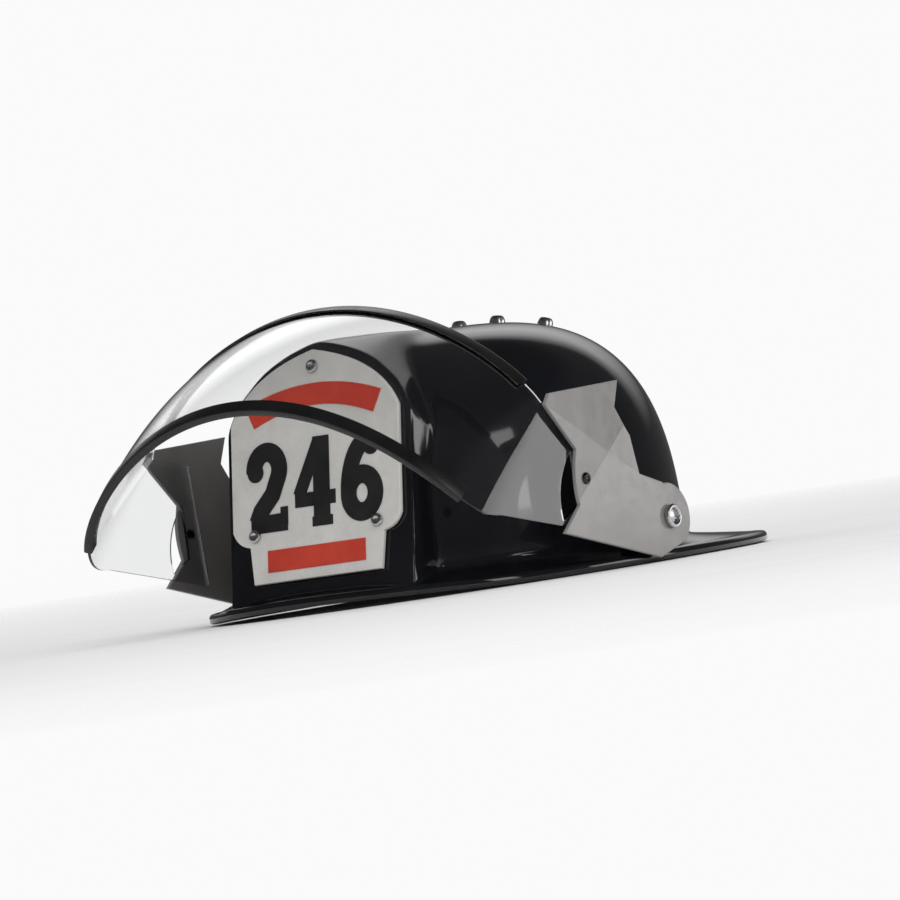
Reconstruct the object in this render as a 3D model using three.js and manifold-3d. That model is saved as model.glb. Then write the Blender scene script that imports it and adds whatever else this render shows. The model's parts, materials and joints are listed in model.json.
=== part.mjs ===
// Child's costume fire helmet: a domed shell with a raised front boss and a long rear brim, a
// front shield, a flip-up visor on two side arms, and a headband with crown straps inside.
// Millimetres. +X is the helmet's left, -Y its front, +Z up. The origin is on the surface that the
// brim rests on, under the middle of the overall box.
import * as THREE from 'three';
import { ConvexGeometry } from 'three/addons/geometries/ConvexGeometry.js';
import { mergeVertices } from 'three/addons/utils/BufferGeometryUtils.js';
import Module from 'manifold-3d';

const wasm = await Module();
wasm.setup();

// Driving dimensions
const GAP = 0.3;  // clearance between touching pieces
const HINGE = { y: 0, z: 16 };  // the visor's hinge axis runs along X
const DOME = { halfWidth: 84, frontLength: 89, rearLength: 91, y: -5.7, z: 5, height: 94.7, power: 3 };
const WALL = 2.4;
const BRIM = { halfWidth: 90.5, frontLength: 108.5, rearLength: 151.74, power: 2.2, thickness: 2.2 };
const BEAD = { width: 4, height: 4, frontLift: 2.5 };
const SHIELD = {
  forward: 102.7, z: 13.3, lean: 11.9, thickness: 2.2,
  height: 87.4, halfWidth: 39.5, shoulder: 62, notchTop: 21, notchBottom: 14.5, footHalfWidth: 30,
};
const BOSS = {
  margin: 3.6, wall: 2.4, crestHalfWidth: 13, crestForward: 18, crestLength: 26, crestRise: 2.5,
  foot: -9, sideForward: 60,
};
const VISOR = { halfWidth: 92, thickness: 1.2, bulge: 5, cheekTop: 22, cheekBottom: 62, cheekFall: 0.2 };
const ARM = { inner: 92.9, thickness: 1.6, round: 13, rivetForward: 53, rivetZ: 35.5 };
const TRIM = { thickness: 3.4, slot: 1.9, depth: 4, lip: 1.5, frontReach: 72, topReach: 70 };
const HEADBAND = { radius: 68, halfStraight: 14, y: -5.3, z: 8, height: 26, thickness: 1.8 };
const PAD = { thickness: 3.2, halfAngle: 39 };
const HANGER = { thickness: 1.6, reach: 2.2, hook: 9, leg: 14, halfAngle: 6 };
const STRAP = { width: 18, thickness: 1.2, topZ: 86, footZ: 22.5 };
const SIZE_STRAP = {
  low: 9, high: 21, slotLow: 12, slotHigh: 18, slotHalfAngle: 20, halfAngle: 30, thickness: 1.5,
  peg: 2.2, pegAngle: 7,
};
const RIVET = { shank: 1.4, hole: 1.75, tail: 1.2 };
const PIVOT = { shank: 2.7, hole: 3.1, washerSpace: 2.3 };
const BAND_THICKNESS = 0.6;

const group = new THREE.Group();
const v3 = (x, y, z) => new THREE.Vector3(x, y, z);
const lerp = THREE.MathUtils.lerp;
const radians = THREE.MathUtils.degToRad;
const forward = (distance) => HINGE.y - distance;

// Colours and finishes
const FINISH = {
  gloss_black: { color: 0x0d0d10, roughness: 0.16, metalness: 0 },
  satin_black: { color: 0x17171a, roughness: 0.45, metalness: 0 },
  white: { color: 0xe4e0da, roughness: 0.4, metalness: 0 },
  red: { color: 0xd2432c, roughness: 0.4, metalness: 0 },
  clear: { color: 0xf2f6f8, roughness: 0.05, metalness: 0, transparent: true, opacity: 0.25 },
  grey: { color: 0xa9a6a3, roughness: 0.35, metalness: 0 },
  metal: { color: 0xb9bbbe, roughness: 0.3, metalness: 1 },
  foam: { color: 0x2a2a2c, roughness: 0.95, metalness: 0 },
  webbing: { color: 0x1e1e20, roughness: 0.85, metalness: 0 },
};

function add(name, geometry, finish) {
  const mesh = new THREE.Mesh(geometry, new THREE.MeshStandardMaterial(FINISH[finish]));
  mesh.name = name;
  group.add(mesh);
}

// ---------- solid helpers ----------

function fromTriangles(points, triangles) {
  const geometry = new THREE.BufferGeometry();
  const coordinates = points.flatMap((p) => [p.x, p.y, p.z]);
  geometry.setAttribute('position', new THREE.Float32BufferAttribute(coordinates, 3));
  geometry.setIndex(triangles);
  return geometry;
}

// Joins closed sections, each a loop of points, into one body. ring = true joins the last to the first.
function loft(sections, ring = false) {
  const count = sections[0].length;
  const points = sections.flat();
  const triangles = [];
  const last = ring ? sections.length : sections.length - 1;
  for (let i = 0; i < last; i++) {
    const next = ((i + 1) % sections.length) * count;
    for (let j = 0; j < count; j++) {
      const k = (j + 1) % count;
      const a = i * count + j;
      const b = i * count + k;
      triangles.push(a, b, next + k, a, next + k, next + j);
    }
  }
  if (!ring) {
    closeEnd(sections[0], points, triangles, 0, true);
    closeEnd(sections.at(-1), points, triangles, (sections.length - 1) * count, false);
  }
  return outward(fromTriangles(points, triangles));
}

// Caps one end section. The section is flattened onto its own best plane to be triangulated.
function closeEnd(section, points, triangles, first, flip) {
  const normal = v3(0, 0, 0);
  section.forEach((p, i) => normal.add(p.clone().cross(section[(i + 1) % section.length])));
  normal.normalize();
  const across = section[1].clone().sub(section[0]).normalize();
  const up = normal.clone().cross(across);
  const flat = section.map((p) => new THREE.Vector2(p.dot(across), p.dot(up)));
  for (const [a, b, c] of THREE.ShapeUtils.triangulateShape(flat, [])) {
    triangles.push(...(flip ? [first + c, first + b, first + a] : [first + a, first + b, first + c]));
  }
}

function signedVolume(geometry) {
  const position = geometry.getAttribute('position');
  const index = geometry.getIndex();
  const corner = (i) => new THREE.Vector3().fromBufferAttribute(position, index.getX(i));
  let total = 0;
  for (let i = 0; i < index.count; i += 3) {
    total += corner(i).dot(corner(i + 1).cross(corner(i + 2)));
  }
  return total / 6;
}

// Turns every face over where the body came out inside out.
function outward(geometry) {
  if (signedVolume(geometry) >= 0) return geometry;
  geometry.setIndex(Array.from(geometry.getIndex().array).reverse());
  return geometry;
}

function toManifold(geometry) {
  let merged = geometry.clone();
  merged.deleteAttribute('normal');
  merged.deleteAttribute('uv');
  merged = outward(mergeVertices(merged, 1e-4));
  return new wasm.Manifold(new wasm.Mesh({
    numProp: 3,
    vertProperties: new Float32Array(merged.getAttribute('position').array),
    triVerts: new Uint32Array(merged.getIndex().array),
  }));
}

function fromManifold(solid) {
  const mesh = solid.getMesh();
  const geometry = new THREE.BufferGeometry();
  geometry.setAttribute('position', new THREE.BufferAttribute(new Float32Array(mesh.vertProperties), 3));
  geometry.setIndex(Array.from(mesh.triVerts));
  return geometry;
}

// A thick sheet over a grid of points: surface(u, v) gives the middle, and side walls close it.
function sheet(surface, columns, rows, thickness) {
  const middle = [];
  for (let i = 0; i <= columns; i++) {
    middle.push([]);
    for (let j = 0; j <= rows; j++) {
      middle[i].push(surface(i / columns, j / rows));
    }
  }
  const offset = (i, j, distance) => {
    const along = middle[Math.min(i + 1, columns)][j].clone().sub(middle[Math.max(i - 1, 0)][j]);
    const across = middle[i][Math.min(j + 1, rows)].clone().sub(middle[i][Math.max(j - 1, 0)]);
    return middle[i][j].clone().addScaledVector(along.cross(across).normalize(), distance);
  };
  const sections = middle.map((column, i) => [
    ...column.map((_, j) => offset(i, j, thickness / 2)),
    ...column.map((_, j) => offset(i, rows - j, -thickness / 2)),
  ]);
  return loft(sections);
}

// A body of revolution from a profile of [radius, height] pairs, its axis turned to a direction.
function turned(profile, origin, direction, segments = 16) {
  const lathe = new THREE.LatheGeometry(profile.map(([r, h]) => new THREE.Vector2(r, h)), segments);
  const turn = new THREE.Quaternion().setFromUnitVectors(v3(0, 1, 0), direction.clone().normalize());
  lathe.deleteAttribute('normal');
  lathe.deleteAttribute('uv');
  const merged = mergeVertices(lathe, 1e-4);
  merged.applyQuaternion(turn);
  merged.translate(origin.x, origin.y, origin.z);
  return outward(merged);
}

function rod(radius, origin, direction, from, to, segments = 16) {
  return turned([[0, from], [radius, from], [radius, to], [0, to]], origin, direction, segments);
}

// A flat plate from an outline, thickness towards the third axis of its own frame.
function plate(shape, thickness, origin, xAxis, yAxis, steps = 8) {
  const options = { depth: thickness, bevelEnabled: false, curveSegments: steps };
  const geometry = new THREE.ExtrudeGeometry(shape, options);
  const zAxis = xAxis.clone().cross(yAxis);
  geometry.applyMatrix4(new THREE.Matrix4().makeBasis(xAxis, yAxis, zAxis).setPosition(origin));
  geometry.deleteAttribute('normal');
  geometry.deleteAttribute('uv');
  return mergeVertices(geometry, 1e-4);
}

const signedPower = (value, power) => Math.sign(value) * Math.abs(value) ** power;

// ---------- shell ----------

// A point of the dome's outer face, or of its inner face for a positive inset.
function domePoint(angle, elevation, inset = 0) {
  const level = Math.cos(elevation) ** (2 / DOME.power);
  const rise = Math.sin(elevation) ** (2 / DOME.power);
  const length = Math.sin(angle) < 0 ? DOME.frontLength : DOME.rearLength;
  return v3(
    (DOME.halfWidth - inset) * level * Math.cos(angle),
    DOME.y + (length - inset) * level * Math.sin(angle),
    DOME.z + (DOME.height - inset) * rise,
  );
}

// A point of the brim: share runs from 0 at the dome's foot to 1 at the brim's outer edge.
function brimPoint(angle, share, z) {
  const foot = domePoint(angle, 0);
  const length = Math.sin(angle) < 0 ? BRIM.frontLength : BRIM.rearLength;
  const edge = v3(
    BRIM.halfWidth * signedPower(Math.cos(angle), 2 / BRIM.power),
    DOME.y + length * signedPower(Math.sin(angle), 2 / BRIM.power),
    0,
  );
  const point = foot.lerp(edge, share);
  point.z = z;
  return point;
}

// The rim rises a little towards the front and lies flat everywhere else.
function rimLift(angle) {
  const towardsFront = Math.max(0, -Math.sin(angle) - 0.6) / 0.4;
  return BEAD.frontLift * towardsFront ** 2;
}

function shellSection(angle, domeSteps) {
  const section = [];
  const lift = rimLift(angle);
  const brimWidth = brimPoint(angle, 1, 0).distanceTo(brimPoint(angle, 0, 0));
  const bead = 1 - BEAD.width / Math.max(brimWidth, BEAD.width + 1);
  const elevation = (i) => (Math.PI / 2) * (1 - i / domeSteps);
  for (let i = 1; i < domeSteps; i++) {
    section.push(domePoint(angle, elevation(i)));
  }
  section.push(brimPoint(angle, 0, DOME.z + 3.5));
  section.push(brimPoint(angle, bead, BEAD.height + lift));
  section.push(brimPoint(angle, 1, BEAD.height - 1 + lift));
  section.push(brimPoint(angle, 1, lift));
  section.push(brimPoint(angle, bead, lift));
  section.push(brimPoint(angle, bead * 0.96, BEAD.height - BRIM.thickness + lift));
  section.push(domePoint(angle, 0, WALL).setZ(DOME.z + 3.5 - BRIM.thickness));
  for (let i = domeSteps - 1; i >= 1; i--) {
    section.push(domePoint(angle, elevation(i), WALL));
  }
  return section;
}

// The dome and brim in one skin, from the crown's outside down round the rim and up its inside.
function skin(segments = 72, domeSteps = 12) {
  const rows = [];
  for (let i = 0; i < segments; i++) {
    rows.push(shellSection((2 * Math.PI * i) / segments, domeSteps));
  }
  const count = rows[0].length;
  const points = rows.flat();
  const crown = points.push(domePoint(0, Math.PI / 2)) - 1;
  const underCrown = points.push(domePoint(0, Math.PI / 2, WALL)) - 1;
  const triangles = [];
  for (let i = 0; i < segments; i++) {
    const here = i * count;
    const next = ((i + 1) % segments) * count;
    triangles.push(crown, here, next);
    for (let j = 0; j < count - 1; j++) {
      triangles.push(here + j, here + j + 1, next + j + 1, here + j, next + j + 1, next + j);
    }
    triangles.push(underCrown, next + count - 1, here + count - 1);
  }
  return outward(fromTriangles(points, triangles));
}

// The shield's frame: origin at the middle of its foot, up the leaning face, and out of the face.
const lean = radians(SHIELD.lean);
const shieldOrigin = v3(0, forward(SHIELD.forward), SHIELD.z);
const shieldRight = v3(1, 0, 0);
const shieldUp = v3(0, Math.sin(lean), Math.cos(lean));
const shieldOut = v3(0, -Math.cos(lean), Math.sin(lean));

function onShield(x, y, out) {
  return shieldOrigin.clone().addScaledVector(shieldRight, x).addScaledVector(shieldUp, y)
    .addScaledVector(shieldOut, out);
}

// The shield's outline: pointed arch, straight sides, stepped in to a narrower foot.
function shieldShape() {
  const s = SHIELD;
  const shape = new THREE.Shape();
  shape.moveTo(-s.footHalfWidth, 0);
  shape.lineTo(s.footHalfWidth, 0);
  shape.lineTo(s.footHalfWidth + 1.5, s.notchBottom);
  shape.quadraticCurveTo(s.halfWidth - 2, s.notchBottom + 1, s.halfWidth, s.notchTop);
  shape.lineTo(s.halfWidth, s.shoulder);
  shape.quadraticCurveTo(s.halfWidth - 8.5, s.shoulder + 19, 0, s.height);
  shape.quadraticCurveTo(-s.halfWidth + 8.5, s.shoulder + 19, -s.halfWidth, s.shoulder);
  shape.lineTo(-s.halfWidth, s.notchTop);
  shape.quadraticCurveTo(-s.halfWidth + 2, s.notchBottom + 1, -s.footHalfWidth - 1.5, s.notchBottom);
  shape.closePath();
  return shape;
}

// The raised boss that carries the shield. Its top facets run back to a crest on the crown.
function bossSolid(inset) {
  const grow = BOSS.margin - inset;
  const face = -SHIELD.thickness - GAP - inset;
  const wide = SHIELD.halfWidth + grow;
  const outline = [];
  for (const p of shieldShape().getPoints(6).filter((point) => point.y >= SHIELD.shoulder)) {
    const out = new THREE.Vector2(p.x, (p.y - SHIELD.shoulder) * 1.6).normalize().multiplyScalar(grow);
    outline.push(onShield(p.x + out.x, p.y + out.y, face));
  }
  outline.push(onShield(-wide, BOSS.foot, face), onShield(wide, BOSS.foot, face));
  const crestZ = DOME.z + DOME.height + BOSS.crestRise - inset;
  for (const side of [-1, 1]) {
    const crestX = side * (BOSS.crestHalfWidth - inset);
    outline.push(v3(crestX, forward(BOSS.crestForward), crestZ - 3));
    outline.push(v3(crestX, forward(BOSS.crestForward + BOSS.crestLength), crestZ - 0.6));
    outline.push(v3(side * wide, forward(BOSS.sideForward), DOME.z + 50));
    outline.push(v3(side * wide, forward(BOSS.sideForward), DOME.z + 2));
  }
  return toManifold(new ConvexGeometry(outline));
}

const shieldRivetPlaces = [[0, SHIELD.height - 6.5], [-28.8, 18.6], [28.8, 18.6]];
const crownRivetPlaces = [-26, -9, 9, 26].map((x) => ({ x, forward: Math.abs(x) > 20 ? -34 : -27 }));

// The point of the dome above a plan position, and the direction out of its face there.
function crownAt(place) {
  const y = forward(place.forward) - DOME.y;
  const length = y < 0 ? DOME.frontLength : DOME.rearLength;
  const level = Math.hypot(place.x / DOME.halfWidth, y / length);
  const rise = (1 - level ** DOME.power) ** (1 / DOME.power);
  const slope = v3(
    (level * place.x) / DOME.halfWidth ** 2,
    (level * y) / length ** 2,
    rise ** (DOME.power - 1) / DOME.height,
  );
  const point = v3(place.x, forward(place.forward), DOME.z + DOME.height * rise);
  return { point, normal: slope.normalize() };
}

function buildShell() {
  const outside = toManifold(skin());
  const hollow = toManifold(new ConvexGeometry(innerSpace()));
  let shell = outside.add(bossSolid(0).subtract(hollow)).subtract(bossSolid(BOSS.wall));
  for (const side of [-1, 1]) {
    shell = shell.subtract(toManifold(rod(PIVOT.hole, v3(0, HINGE.y, HINGE.z), v3(side, 0, 0), 60, 96, 20)));
  }
  for (const [x, y] of shieldRivetPlaces) {
    shell = shell.subtract(toManifold(rod(RIVET.hole, onShield(x, y, 0), shieldOut, -12, 6, 10)));
  }
  for (const place of crownRivetPlaces) {
    const { point, normal } = crownAt(place);
    shell = shell.subtract(toManifold(rod(RIVET.hole, point, normal, -8, 8, 10)));
  }
  return fromManifold(shell);
}

// The space inside the dome, down to just above the brim.
function innerSpace() {
  const points = [];
  for (let i = 0; i < 72; i++) {
    for (let j = 0; j <= 12; j++) {
      points.push(domePoint((2 * Math.PI * i) / 72, (Math.PI / 2) * (j / 12), WALL));
    }
    points.push(domePoint((2 * Math.PI * i) / 72, 0, WALL).setZ(-10));
  }
  return points;
}

add('shell', buildShell(), 'gloss_black');

// ---------- front shield ----------

function shieldPlate() {
  const shape = shieldShape();
  for (const [x, y] of shieldRivetPlaces) {
    shape.holes.push(new THREE.Path().absarc(x, y, RIVET.hole, 0, 2 * Math.PI, true));
  }
  return plate(shape, SHIELD.thickness, onShield(0, 0, -SHIELD.thickness), shieldRight, shieldUp, 6);
}

// A printed band: an arc of a ring, its top and bottom edges bowed upwards.
function bandShape(halfTop, halfBottom, endTop, endBottom, bow) {
  const shape = new THREE.Shape();
  shape.moveTo(-halfBottom, endBottom);
  shape.quadraticCurveTo(0, endBottom + 2 * bow, halfBottom, endBottom);
  shape.lineTo(halfTop, endTop);
  shape.quadraticCurveTo(0, endTop + 2 * bow, -halfTop, endTop);
  shape.closePath();
  return shape;
}

add('front_shield', shieldPlate(), 'white');
add('shield_band_upper', plate(bandShape(32, 28, 68.5, 60, 6), BAND_THICKNESS,
  onShield(0, 0, GAP), shieldRight, shieldUp, 8), 'red');
add('shield_band_lower', plate(bandShape(23, 23, 12.5, 4, 0), BAND_THICKNESS,
  onShield(0, 0, GAP), shieldRight, shieldUp, 1), 'red');

// A rivet: rounded head, shank and a clinched tail of the given length.
function rivet(headRadius, headHeight, shank, length, origin, direction, segments = 14) {
  const profile = [
    [0, -length - RIVET.tail], [shank + 1, -length - RIVET.tail], [shank + 1, -length], [shank, -length],
    [shank, GAP], [headRadius, GAP], [headRadius, GAP + headHeight * 0.45],
    [headRadius * 0.6, GAP + headHeight], [0, GAP + headHeight],
  ];
  return turned(profile, origin, direction, segments);
}

shieldRivetPlaces.forEach(([x, y], i) => {
  const length = SHIELD.thickness + BOSS.wall + 3 * GAP;
  add(`shield_rivet_${i + 1}`, rivet(2.6, 1.2, RIVET.shank, length, onShield(x, y, 0), shieldOut), 'metal');
});

crownRivetPlaces.forEach((place, i) => {
  const { point, normal } = crownAt(place);
  add(`crown_rivet_${i + 1}`, rivet(3, 2.4, RIVET.shank, WALL + 2 * GAP, point, normal), 'metal');
});

// ---------- visor ----------

// Edge curves of the clear sheet. angle runs from -90 to 90 degrees across the visor.
function topEdge(angle) {
  const c = Math.cos(angle);
  return v3(VISOR.halfWidth * Math.sin(angle), forward(71.2 + 4.7 * c), 66 + 46.3 * c ** 1.58);
}

function frontEdge(angle) {
  const c = Math.cos(angle);
  return v3(VISOR.halfWidth * Math.sin(angle), forward(109 + 34.8 * c ** 0.6), 27 + 53 * c ** 1.55);
}

// The sheet: arched between its two edges, then flat cheeks running back under the side arms.
function visorPoint(across, down) {
  const archShare = 0.8;
  const t = (across * 2 - 1) / archShare;
  const angle = THREE.MathUtils.clamp(t, -1, 1) * (Math.PI / 2);
  const point = topEdge(angle).lerp(frontEdge(angle), down);
  const swell = VISOR.bulge * 4 * down * (1 - down) * Math.cos(angle) ** 0.8;
  point.y -= swell * 0.6;
  point.z += swell * 0.8;
  const beyond = Math.max(0, Math.abs(t) - 1) / (1 / archShare - 1);
  const reach = beyond * lerp(VISOR.cheekTop, VISOR.cheekBottom, down);
  point.y += reach;
  point.z -= reach * VISOR.cheekFall;
  return point;
}

// The crescent cut out of each cheek in front of the arm's hollowed edge, seen from the left.
function cheekCut() {
  const shape = new THREE.Shape();
  shape.moveTo(68.5, 5);
  shape.quadraticCurveTo(71, 20, 57, 31);
  shape.lineTo(56.5, 20);
  shape.lineTo(57, 10);
  shape.closePath();
  const width = 2 * VISOR.halfWidth + 20;
  return toManifold(plate(shape, width, v3(width / 2, HINGE.y, HINGE.z), v3(0, -1, 0), v3(0, 0, 1), 8));
}

function buildVisorSheet() {
  let solid = toManifold(sheet(visorPoint, 60, 8, VISOR.thickness)).subtract(cheekCut());
  for (const side of [-1, 1]) {
    const centre = v3(0, forward(ARM.rivetForward), ARM.rivetZ);
    solid = solid.subtract(toManifold(rod(RIVET.hole, centre, v3(side, 0, 0), 80, 100, 10)));
  }
  return fromManifold(solid);
}

// The edge trim is a channel that the sheet's edge sits in, drawn along one edge of the arch.
function trim(edge, inner, reach, steps = 48) {
  const half = TRIM.thickness / 2;
  const slot = TRIM.slot / 2;
  const channel = [
    [-half, -TRIM.depth], [-half, TRIM.lip], [half, TRIM.lip], [half, -TRIM.depth],
    [slot, -TRIM.depth], [slot, GAP], [-slot, GAP], [-slot, -TRIM.depth],
  ];
  const sections = [];
  for (let i = 0; i <= steps; i++) {
    const angle = lerp(-reach, reach, i / steps);
    const step = 0.01;
    const along = edge(angle + step).sub(edge(angle - step)).normalize();
    const outwards = edge(angle).sub(inner(angle));
    outwards.addScaledVector(along, -outwards.dot(along)).normalize();
    const normal = along.clone().cross(outwards);
    sections.push(channel.map(([n, w]) => edge(angle).addScaledVector(normal, n).addScaledVector(outwards, w)));
  }
  return loft(sections);
}

const middleOf = (angle, share) => visorPoint(0.5 + 0.4 * (angle / (Math.PI / 2)), share);

// A side arm: round about the hinge, with a wing that reaches the top trim and a hollowed front
// edge. The clear sheet is riveted to its inner face. Its own frame has the hinge at the origin.
function armShape() {
  const shape = new THREE.Shape();
  shape.moveTo(9.5, -14.8);
  shape.lineTo(71.5, 0.2);
  shape.lineTo(59, 10);
  shape.quadraticCurveTo(61.5, 20, 57, 31);
  shape.lineTo(74.5, 49.5);
  shape.lineTo(70.5, 53.5);
  shape.lineTo(21, 54.5);
  shape.lineTo(26, 44.5);
  shape.lineTo(18.5, 33);
  shape.lineTo(16.5, 18);
  shape.lineTo(2, 13.5);
  shape.absarc(0, 0, ARM.round, radians(85), radians(229), false);
  shape.closePath();
  shape.holes.push(new THREE.Path().absarc(0, 0, PIVOT.hole, 0, 2 * Math.PI, true));
  const rivetHeight = ARM.rivetZ - HINGE.z;
  shape.holes.push(new THREE.Path().absarc(ARM.rivetForward, rivetHeight, RIVET.hole, 0, 2 * Math.PI, true));
  return shape;
}

// The outline is drawn facing left and thickened to the right, so each plate starts at its left face.
function arm(side) {
  const leftFace = side > 0 ? ARM.inner + ARM.thickness : -ARM.inner;
  return plate(armShape(), ARM.thickness, v3(leftFace, HINGE.y, HINGE.z), v3(0, -1, 0), v3(0, 0, 1), 10);
}

add('visor_sheet', buildVisorSheet(), 'clear');
add('visor_front_trim', trim(frontEdge, (a) => middleOf(a, 0.9), radians(TRIM.frontReach)), 'satin_black');
add('visor_top_trim', trim(topEdge, (a) => middleOf(a, 0.1), radians(TRIM.topReach)), 'satin_black');

// The pivot on each side, from the outside in: ring-headed rivet, arm, spacer, shell, washer.
function pivotRivet(direction) {
  const head = ARM.inner + ARM.thickness + GAP;
  const tail = DOME.halfWidth - WALL - PIVOT.washerSpace - GAP;
  const profile = [
    [0, tail - 1.4], [4.2, tail - 1.4], [4.2, tail], [PIVOT.shank, tail], [PIVOT.shank, head], [4.6, head],
    [4.6, head + 1.6], [3.9, head + 2.2], [3.1, head + 2.2], [2.6, head + 1.2], [0, head + 1.2],
  ];
  return turned(profile, v3(0, HINGE.y, HINGE.z), direction, 20);
}

function ringAround(inner, outer, from, to, direction) {
  const profile = [[inner, from], [outer, from], [outer, to], [inner, to], [inner, from]];
  return turned(profile, v3(0, HINGE.y, HINGE.z), direction, 20);
}

for (const [side, word] of [[1, 'left'], [-1, 'right']]) {
  const direction = v3(side, 0, 0);
  const seat = v3(side * (ARM.inner + ARM.thickness), forward(ARM.rivetForward), ARM.rivetZ);
  const throughLength = ARM.thickness + VISOR.thickness + 2 * GAP;
  add(`visor_arm_${word}`, arm(side), 'grey');
  add(`arm_rivet_${word}`, rivet(2.3, 1.2, RIVET.shank, throughLength, seat, direction), 'satin_black');
  add(`pivot_rivet_${word}`, pivotRivet(direction), 'metal');
  const spacer = ringAround(PIVOT.hole, 7, DOME.halfWidth + GAP, ARM.inner - GAP, direction);
  add(`pivot_spacer_${word}`, spacer, 'satin_black');
  const washerFace = DOME.halfWidth - WALL - PIVOT.washerSpace;
  add(`pivot_washer_${word}`, ringAround(PIVOT.hole, 6.5, washerFace, washerFace + 1.2, direction), 'metal');
}

// ---------- headband and straps ----------

// A point [x, y] of the headband's plan, two half circles joined by short straights. The angle runs
// from 0 at the left, through the back at 90 degrees, to the front at 270.
function bandPlan(radius, angle) {
  const centreY = HEADBAND.y + Math.sign(Math.sin(angle)) * HEADBAND.halfStraight;
  return [radius * Math.cos(angle), centreY + radius * Math.sin(angle)];
}

// Sections of a strip standing on edge along part of the headband's plan, between two heights.
function bandStrip(inner, thickness, from, to, low, high, steps) {
  const sections = [];
  for (let i = 0; i <= steps; i++) {
    const angle = lerp(from, to, i / steps);
    const [x0, y0] = bandPlan(inner, angle);
    const [x1, y1] = bandPlan(inner + thickness, angle);
    sections.push([v3(x0, y0, low), v3(x1, y1, low), v3(x1, y1, high), v3(x0, y0, high)]);
  }
  return sections;
}

const bandTop = HEADBAND.z + HEADBAND.height;
const bandOuter = HEADBAND.radius + HEADBAND.thickness;

function headbandSolid() {
  const tiny = 1e-3;
  const half = (from) => bandStrip(HEADBAND.radius, HEADBAND.thickness, from + tiny, from + Math.PI - tiny,
    HEADBAND.z, bandTop, 30);
  const ring = toManifold(loft([...half(Math.PI), ...half(0)], true));
  const halfAngle = radians(SIZE_STRAP.slotHalfAngle);
  const slot = loft(bandStrip(HEADBAND.radius - 2, HEADBAND.thickness + 4, Math.PI / 2 - halfAngle,
    Math.PI / 2 + halfAngle, SIZE_STRAP.slotLow, SIZE_STRAP.slotHigh, 8));
  return fromManifold(ring.subtract(toManifold(slot)));
}

// The size strap lies behind the headband, and its two pegs run in the headband's slot.
function sizeStrap() {
  const inner = bandOuter + GAP;
  const halfAngle = radians(SIZE_STRAP.halfAngle);
  const pegAngle = radians(SIZE_STRAP.pegAngle);
  const strip = toManifold(loft(bandStrip(inner, SIZE_STRAP.thickness, Math.PI / 2 - halfAngle,
    Math.PI / 2 + halfAngle, SIZE_STRAP.low, SIZE_STRAP.high, 14)));
  const centre = v3(0, HEADBAND.y + HEADBAND.halfStraight, (SIZE_STRAP.slotLow + SIZE_STRAP.slotHigh) / 2);
  let whole = strip;
  for (const side of [-1, 1]) {
    const direction = v3(Math.sin(side * pegAngle), Math.cos(side * pegAngle), 0);
    whole = whole.add(toManifold(rod(SIZE_STRAP.peg, centre, direction, HEADBAND.radius, inner + 0.8, 12)));
  }
  return fromManifold(whole);
}

add('headband', headbandSolid(), 'satin_black');
add('size_strap', sizeStrap(), 'satin_black');
const padHalfAngle = radians(PAD.halfAngle);
add('brow_pad', loft(bandStrip(HEADBAND.radius - GAP - PAD.thickness, PAD.thickness,
  1.5 * Math.PI - padHalfAngle, 1.5 * Math.PI + padHalfAngle, HEADBAND.z + 1, bandTop - 1, 24)), 'foam');

// A crown strap rises from the headband on both sides and follows the dome, a little inside it.
function crownStrap(direction, reach, topZ, footZ, steps = 28) {
  const across = v3(-direction.y, direction.x, 0).multiplyScalar(STRAP.width / 2);
  const sections = [];
  const point = (i, inset) => {
    const angle = lerp(0, Math.PI, i / steps);
    const level = signedPower(Math.cos(angle), 2 / 3.2);
    const rise = Math.sin(angle) ** (2 / 2.4);
    return v3(0, HEADBAND.y, footZ + (topZ - inset - footZ) * rise)
      .addScaledVector(direction, level * (reach - inset));
  };
  for (let i = 0; i <= steps; i++) {
    const outer = point(i, 0);
    const inner = point(i, STRAP.thickness);
    sections.push([outer.clone().add(across), outer.clone().sub(across),
      inner.clone().sub(across), inner.clone().add(across)]);
  }
  return loft(sections);
}

// The lengthwise strap passes over the crosswise one, and both end outside the headband.
const strapReach = bandOuter + 2 * GAP + STRAP.thickness;
const lengthwise = crownStrap(v3(0, 1, 0), strapReach + HEADBAND.halfStraight, STRAP.topZ, STRAP.footZ);
const crosswise = crownStrap(v3(1, 0, 0), strapReach, STRAP.topZ - STRAP.thickness - 1.3, STRAP.footZ);
add('crown_strap_lengthwise', lengthwise, 'webbing');
add('crown_strap_crosswise', crosswise, 'webbing');

// A hanger hooks over the headband's top edge and reaches out to the shell's inner wall.
function hanger(angle) {
  const inner = HEADBAND.radius - GAP - HANGER.thickness;
  const outer = bandOuter + HANGER.reach;
  const profile = [
    [inner, bandTop - HANGER.hook], [inner, bandTop + HANGER.reach], [outer, bandTop + HANGER.reach],
    [outer, bandTop - HANGER.leg], [bandOuter + GAP, bandTop - HANGER.leg], [bandOuter + GAP, bandTop + GAP],
    [HEADBAND.radius - GAP, bandTop + GAP], [HEADBAND.radius - GAP, bandTop - HANGER.hook],
  ];
  const halfAngle = radians(HANGER.halfAngle);
  const steps = 4;
  const sections = [];
  for (let i = 0; i <= steps; i++) {
    const turn = lerp(angle - halfAngle, angle + halfAngle, i / steps);
    sections.push(profile.map(([radius, z]) => {
      const [x, y] = bandPlan(radius, turn);
      return v3(x, y, z);
    }));
  }
  return loft(sections);
}

const hangerAngles = { front_left: 318, front_right: 222, rear_left: 42, rear_right: 138 };
for (const [place, degrees] of Object.entries(hangerAngles)) {
  add(`hanger_${place}`, hanger(radians(degrees)), 'satin_black');
}

export default group;
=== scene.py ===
"""Looks for a child's costume fire helmet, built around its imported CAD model."""
import json
import math

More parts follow.
